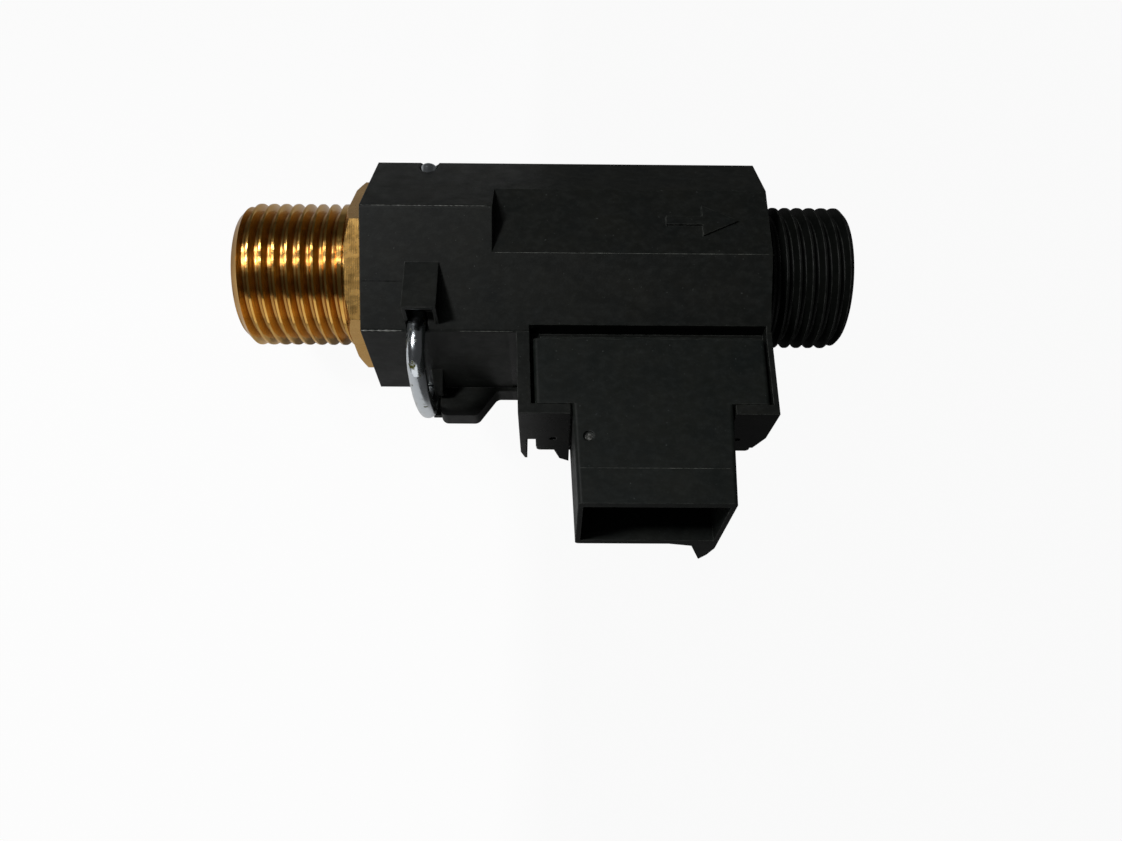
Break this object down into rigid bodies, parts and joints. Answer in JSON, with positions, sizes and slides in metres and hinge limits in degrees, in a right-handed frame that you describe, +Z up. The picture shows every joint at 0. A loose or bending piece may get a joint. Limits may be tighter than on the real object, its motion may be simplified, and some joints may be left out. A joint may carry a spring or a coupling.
{
  "type": "flow switch",
  "caption": "In-line piston flow switch: hexagonal plastic body, brass swivel inlet held by a wire clip, threaded outlet, slide-in reed module with a plug socket.",
  "frame": {"origin": "centre of the inlet thread's end face, on the flow axis", "axes": "+X with the flow, from inlet to outlet; +Z up from the body's back flat, on which the part lies; the connector points to -Y and up"},
  "size_m": [0.088, 0.0587, 0.0415],
  "materials": {
    "body_plastic": "moulded, satin, glass-filled",
    "module_plastic": "moulded, satin, glass-filled",
    "brass": "machined, bright",
    "seal_rubber": "smooth",
    "clip_steel": "bright plated wire",
    "strainer_plastic": "moulded, pale",
    "mesh_plastic": "moulded, pale",
    "guide_plastic": "moulded, natural white",
    "piston_plastic": "moulded, natural white",
    "magnet_ferrite": "sintered, dark grey",
    "spring_steel": "drawn stainless wire",
    "snap_steel": "stamped stainless",
    "board_laminate": "laminate",
    "terminal_tin": "tinned brass",
    "reed_glass": "clear, slightly green",
    "reed_metal": "plated nickel iron"
  },
  "bodies": {
    "body_group": {"valve_body": "body_plastic", "seat_ring": "guide_plastic", "piston_guide": "guide_plastic", "guide_seal": "seal_rubber", "return_spring": "spring_steel", "spring_seat": "guide_plastic", "snap_ring": "snap_steel"},
    "nipple_group": {"inlet_nipple": "brass", "nipple_seal_outer": "seal_rubber", "nipple_seal_inner": "seal_rubber", "strainer_frame": "strainer_plastic", "strainer_mesh": "mesh_plastic"},
    "clip_group": {"retaining_clip": "clip_steel"},
    "piston_group": {"piston": "piston_plastic", "piston_magnet": "magnet_ferrite", "magnet_cap": "piston_plastic"},
    "module_group": {"switch_housing": "module_plastic", "switch_cover": "module_plastic", "circuit_board": "board_laminate", "terminal_left": "terminal_tin", "terminal_middle": "terminal_tin", "terminal_right": "terminal_tin", "terminal_carrier": "module_plastic", "locating_pin": "clip_steel", "reed_glass": "reed_glass", "reed_blade_left": "reed_metal", "reed_blade_right": "reed_metal"}
  },
  "joints": [
    {"name": "piston_slide", "type": "slide", "parent": "body_group", "child": "piston_group", "axis": [1, 0, 0], "range_m": [0, 0.008], "stiffness_N_per_m": 40, "springref_m": -0.004, "deforming": ["return_spring"]},
    {"name": "nipple_swivel", "type": "hinge", "parent": "body_group", "child": "nipple_group", "pos_m": [0, 0, 0], "axis": [1, 0, 0], "continuous": true},
    {"name": "clip_pull", "type": "slide", "parent": "body_group", "child": "clip_group", "axis": [0, -0.866, 0.5], "range_m": [0, 0.03]},
    {"name": "module_slide", "type": "slide", "parent": "body_group", "child": "module_group", "axis": [0, 0.5, 0.866], "range_m": [0, 0.017]}
  ]
}
